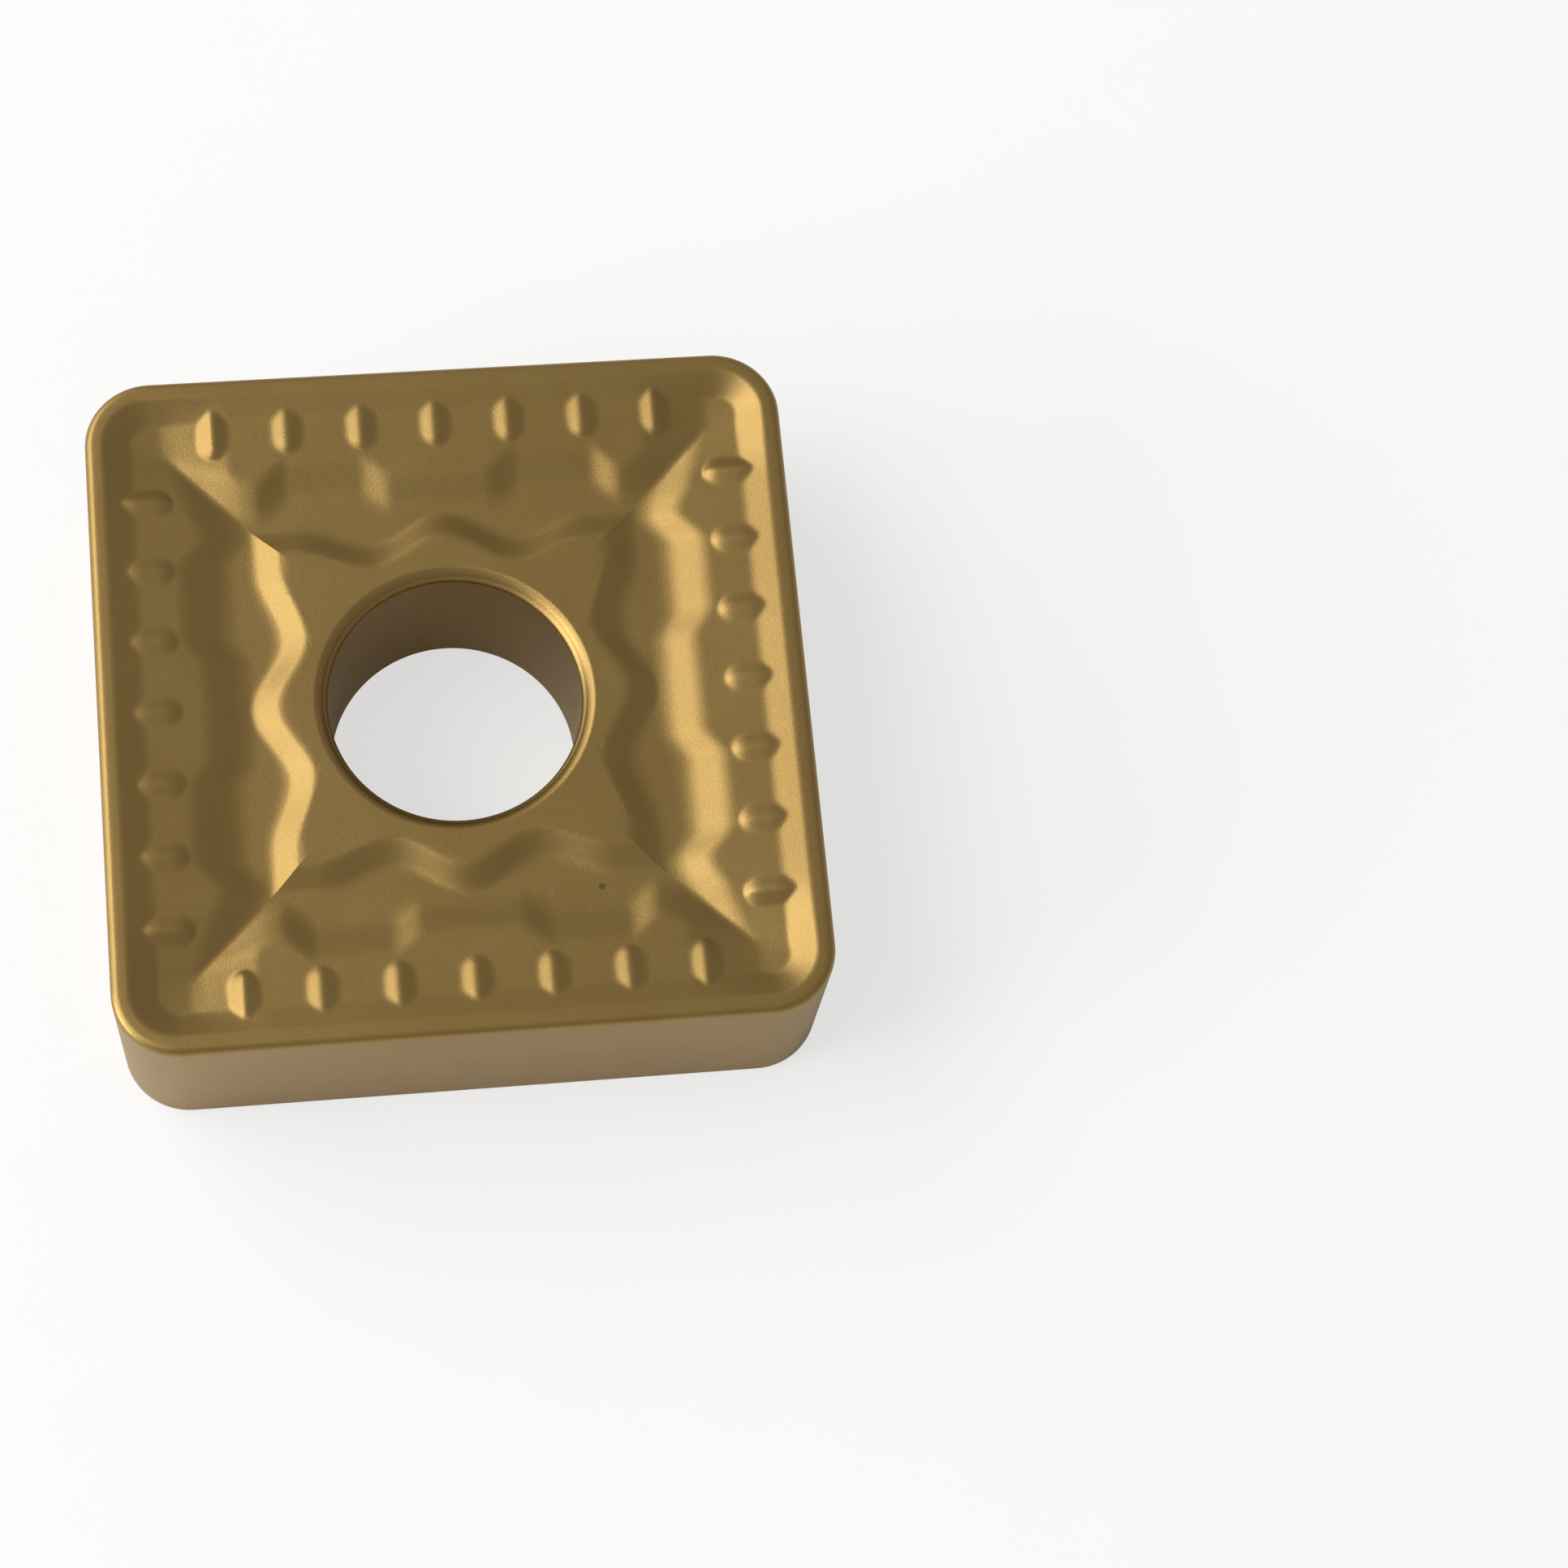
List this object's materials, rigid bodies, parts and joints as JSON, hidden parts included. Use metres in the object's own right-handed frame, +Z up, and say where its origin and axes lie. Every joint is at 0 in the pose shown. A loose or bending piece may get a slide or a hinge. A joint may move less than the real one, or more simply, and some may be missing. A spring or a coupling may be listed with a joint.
{
  "type": "square carbide turning insert",
  "caption": "Square single-sided indexable cutting insert with a pressed chipbreaker, rounded corners and a central pin bore.",
  "frame": {"origin": "centre of the flat underside, on the bore's axis", "axes": "+Z up along the bore, towards the cutting face; X and Y square to the side faces"},
  "size_m": [0.0254, 0.0254, 0.0079],
  "materials": {
    "coated_carbide": "satin gold-brown hard coating on cemented carbide"
  },
  "bodies": {
    "root": {"insert_body": "coated_carbide"}
  },
  "joints": []
}
